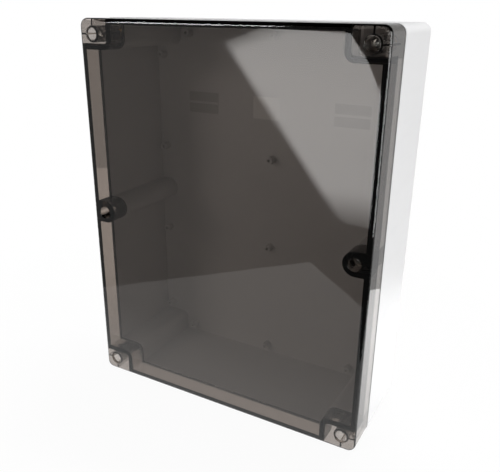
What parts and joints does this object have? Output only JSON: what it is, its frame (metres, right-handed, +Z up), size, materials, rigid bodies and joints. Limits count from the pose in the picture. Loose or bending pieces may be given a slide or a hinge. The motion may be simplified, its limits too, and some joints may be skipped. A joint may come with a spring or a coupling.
{
  "type": "hinged enclosure",
  "caption": "Upright wall-mounting plastic enclosure with a deep opaque base and a clear smoked lid on side hinges, closed by captive screws.",
  "frame": {"origin": "middle of the rear face, centre of the four blind fixing holes", "axes": "+X right as seen from the front, +Y out of the rear face (the front faces -Y), +Z up"},
  "size_m": [0.3088, 0.12, 0.38],
  "materials": {
    "base_plastic": "light grey moulded polycarbonate, fine satin",
    "clear_lid": "smoke tinted transparent polycarbonate, polished",
    "gasket_rubber": "soft closed-cell seal",
    "label_paper": "blank film label",
    "screw_steel": "stainless steel, pressed head",
    "retainer_nylon": "natural nylon",
    "insert_brass": "turned brass",
    "pin_steel": "drawn stainless wire"
  },
  "bodies": {
    "base": {"base": "base_plastic", "blank_label": "label_paper", "threaded_insert_top_left": "insert_brass", "threaded_insert_mid_left": "insert_brass", "threaded_insert_bottom_left": "insert_brass", "threaded_insert_top_right": "insert_brass", "threaded_insert_mid_right": "insert_brass", "threaded_insert_bottom_right": "insert_brass", "hinge_pin_upper": "pin_steel", "hinge_pin_lower": "pin_steel"},
    "lid": {"lid": "clear_lid", "lid_gasket": "gasket_rubber"},
    "retainer_top_left": {"screw_retainer_top_left": "retainer_nylon"},
    "screw_top_left": {"lid_screw_top_left": "screw_steel"},
    "retainer_mid_left": {"screw_retainer_mid_left": "retainer_nylon"},
    "screw_mid_left": {"lid_screw_mid_left": "screw_steel"},
    "retainer_bottom_left": {"screw_retainer_bottom_left": "retainer_nylon"},
    "screw_bottom_left": {"lid_screw_bottom_left": "screw_steel"},
    "retainer_top_right": {"screw_retainer_top_right": "retainer_nylon"},
    "screw_top_right": {"lid_screw_top_right": "screw_steel"},
    "retainer_mid_right": {"screw_retainer_mid_right": "retainer_nylon"},
    "screw_mid_right": {"lid_screw_mid_right": "screw_steel"},
    "retainer_bottom_right": {"screw_retainer_bottom_right": "retainer_nylon"},
    "screw_bottom_right": {"lid_screw_bottom_right": "screw_steel"}
  },
  "joints": [
    {"name": "lid_swing", "type": "hinge", "parent": "base", "child": "lid", "pos_m": [-0.1548, -0.079, 0], "axis": [0, 0, -1], "range_deg": [0, 180]},
    {"name": "screw_travel_top_left", "type": "slide", "parent": "lid", "child": "retainer_top_left", "axis": [0, 1, 0], "range_m": [0, 0.0089]},
    {"name": "screw_turn_top_left", "type": "hinge", "parent": "retainer_top_left", "child": "screw_top_left", "pos_m": [-0.1355, -0.1, 0.1755], "axis": [0, 1, 0], "range_deg": [0, 4005]},
    {"name": "screw_travel_mid_left", "type": "slide", "parent": "lid", "child": "retainer_mid_left", "axis": [0, 1, 0], "range_m": [0, 0.0089]},
    {"name": "screw_turn_mid_left", "type": "hinge", "parent": "retainer_mid_left", "child": "screw_mid_left", "pos_m": [-0.1355, -0.1, 0], "axis": [0, 1, 0], "range_deg": [0, 4005]},
    {"name": "screw_travel_bottom_left", "type": "slide", "parent": "lid", "child": "retainer_bottom_left", "axis": [0, 1, 0], "range_m": [0, 0.0089]},
    {"name": "screw_turn_bottom_left", "type": "hinge", "parent": "retainer_bottom_left", "child": "screw_bottom_left", "pos_m": [-0.1355, -0.1, -0.1755], "axis": [0, 1, 0], "range_deg": [0, 4005]},
    {"name": "screw_travel_top_right", "type": "slide", "parent": "lid", "child": "retainer_top_right", "axis": [0, 1, 0], "range_m": [0, 0.0089]},
    {"name": "screw_turn_top_right", "type": "hinge", "parent": "retainer_top_right", "child": "screw_top_right", "pos_m": [0.1355, -0.1, 0.1755], "axis": [0, 1, 0], "range_deg": [0, 4005]},
    {"name": "screw_travel_mid_right", "type": "slide", "parent": "lid", "child": "retainer_mid_right", "axis": [0, 1, 0], "range_m": [0, 0.0089]},
    {"name": "screw_turn_mid_right", "type": "hinge", "parent": "retainer_mid_right", "child": "screw_mid_right", "pos_m": [0.1355, -0.1, 0], "axis": [0, 1, 0], "range_deg": [0, 4005]},
    {"name": "screw_travel_bottom_right", "type": "slide", "parent": "lid", "child": "retainer_bottom_right", "axis": [0, 1, 0], "range_m": [0, 0.0089]},
    {"name": "screw_turn_bottom_right", "type": "hinge", "parent": "retainer_bottom_right", "child": "screw_bottom_right", "pos_m": [0.1355, -0.1, -0.1755], "axis": [0, 1, 0], "range_deg": [0, 4005]}
  ],
  "couplings": [
    {"joint": "screw_turn_top_left", "follows": "screw_travel_top_left", "rad_per_m": 7854},
    {"joint": "screw_turn_mid_left", "follows": "screw_travel_mid_left", "rad_per_m": 7854},
    {"joint": "screw_turn_bottom_left", "follows": "screw_travel_bottom_left", "rad_per_m": 7854},
    {"joint": "screw_turn_top_right", "follows": "screw_travel_top_right", "rad_per_m": 7854},
    {"joint": "screw_turn_mid_right", "follows": "screw_travel_mid_right", "rad_per_m": 7854},
    {"joint": "screw_turn_bottom_right", "follows": "screw_travel_bottom_right", "rad_per_m": 7854}
  ]
}
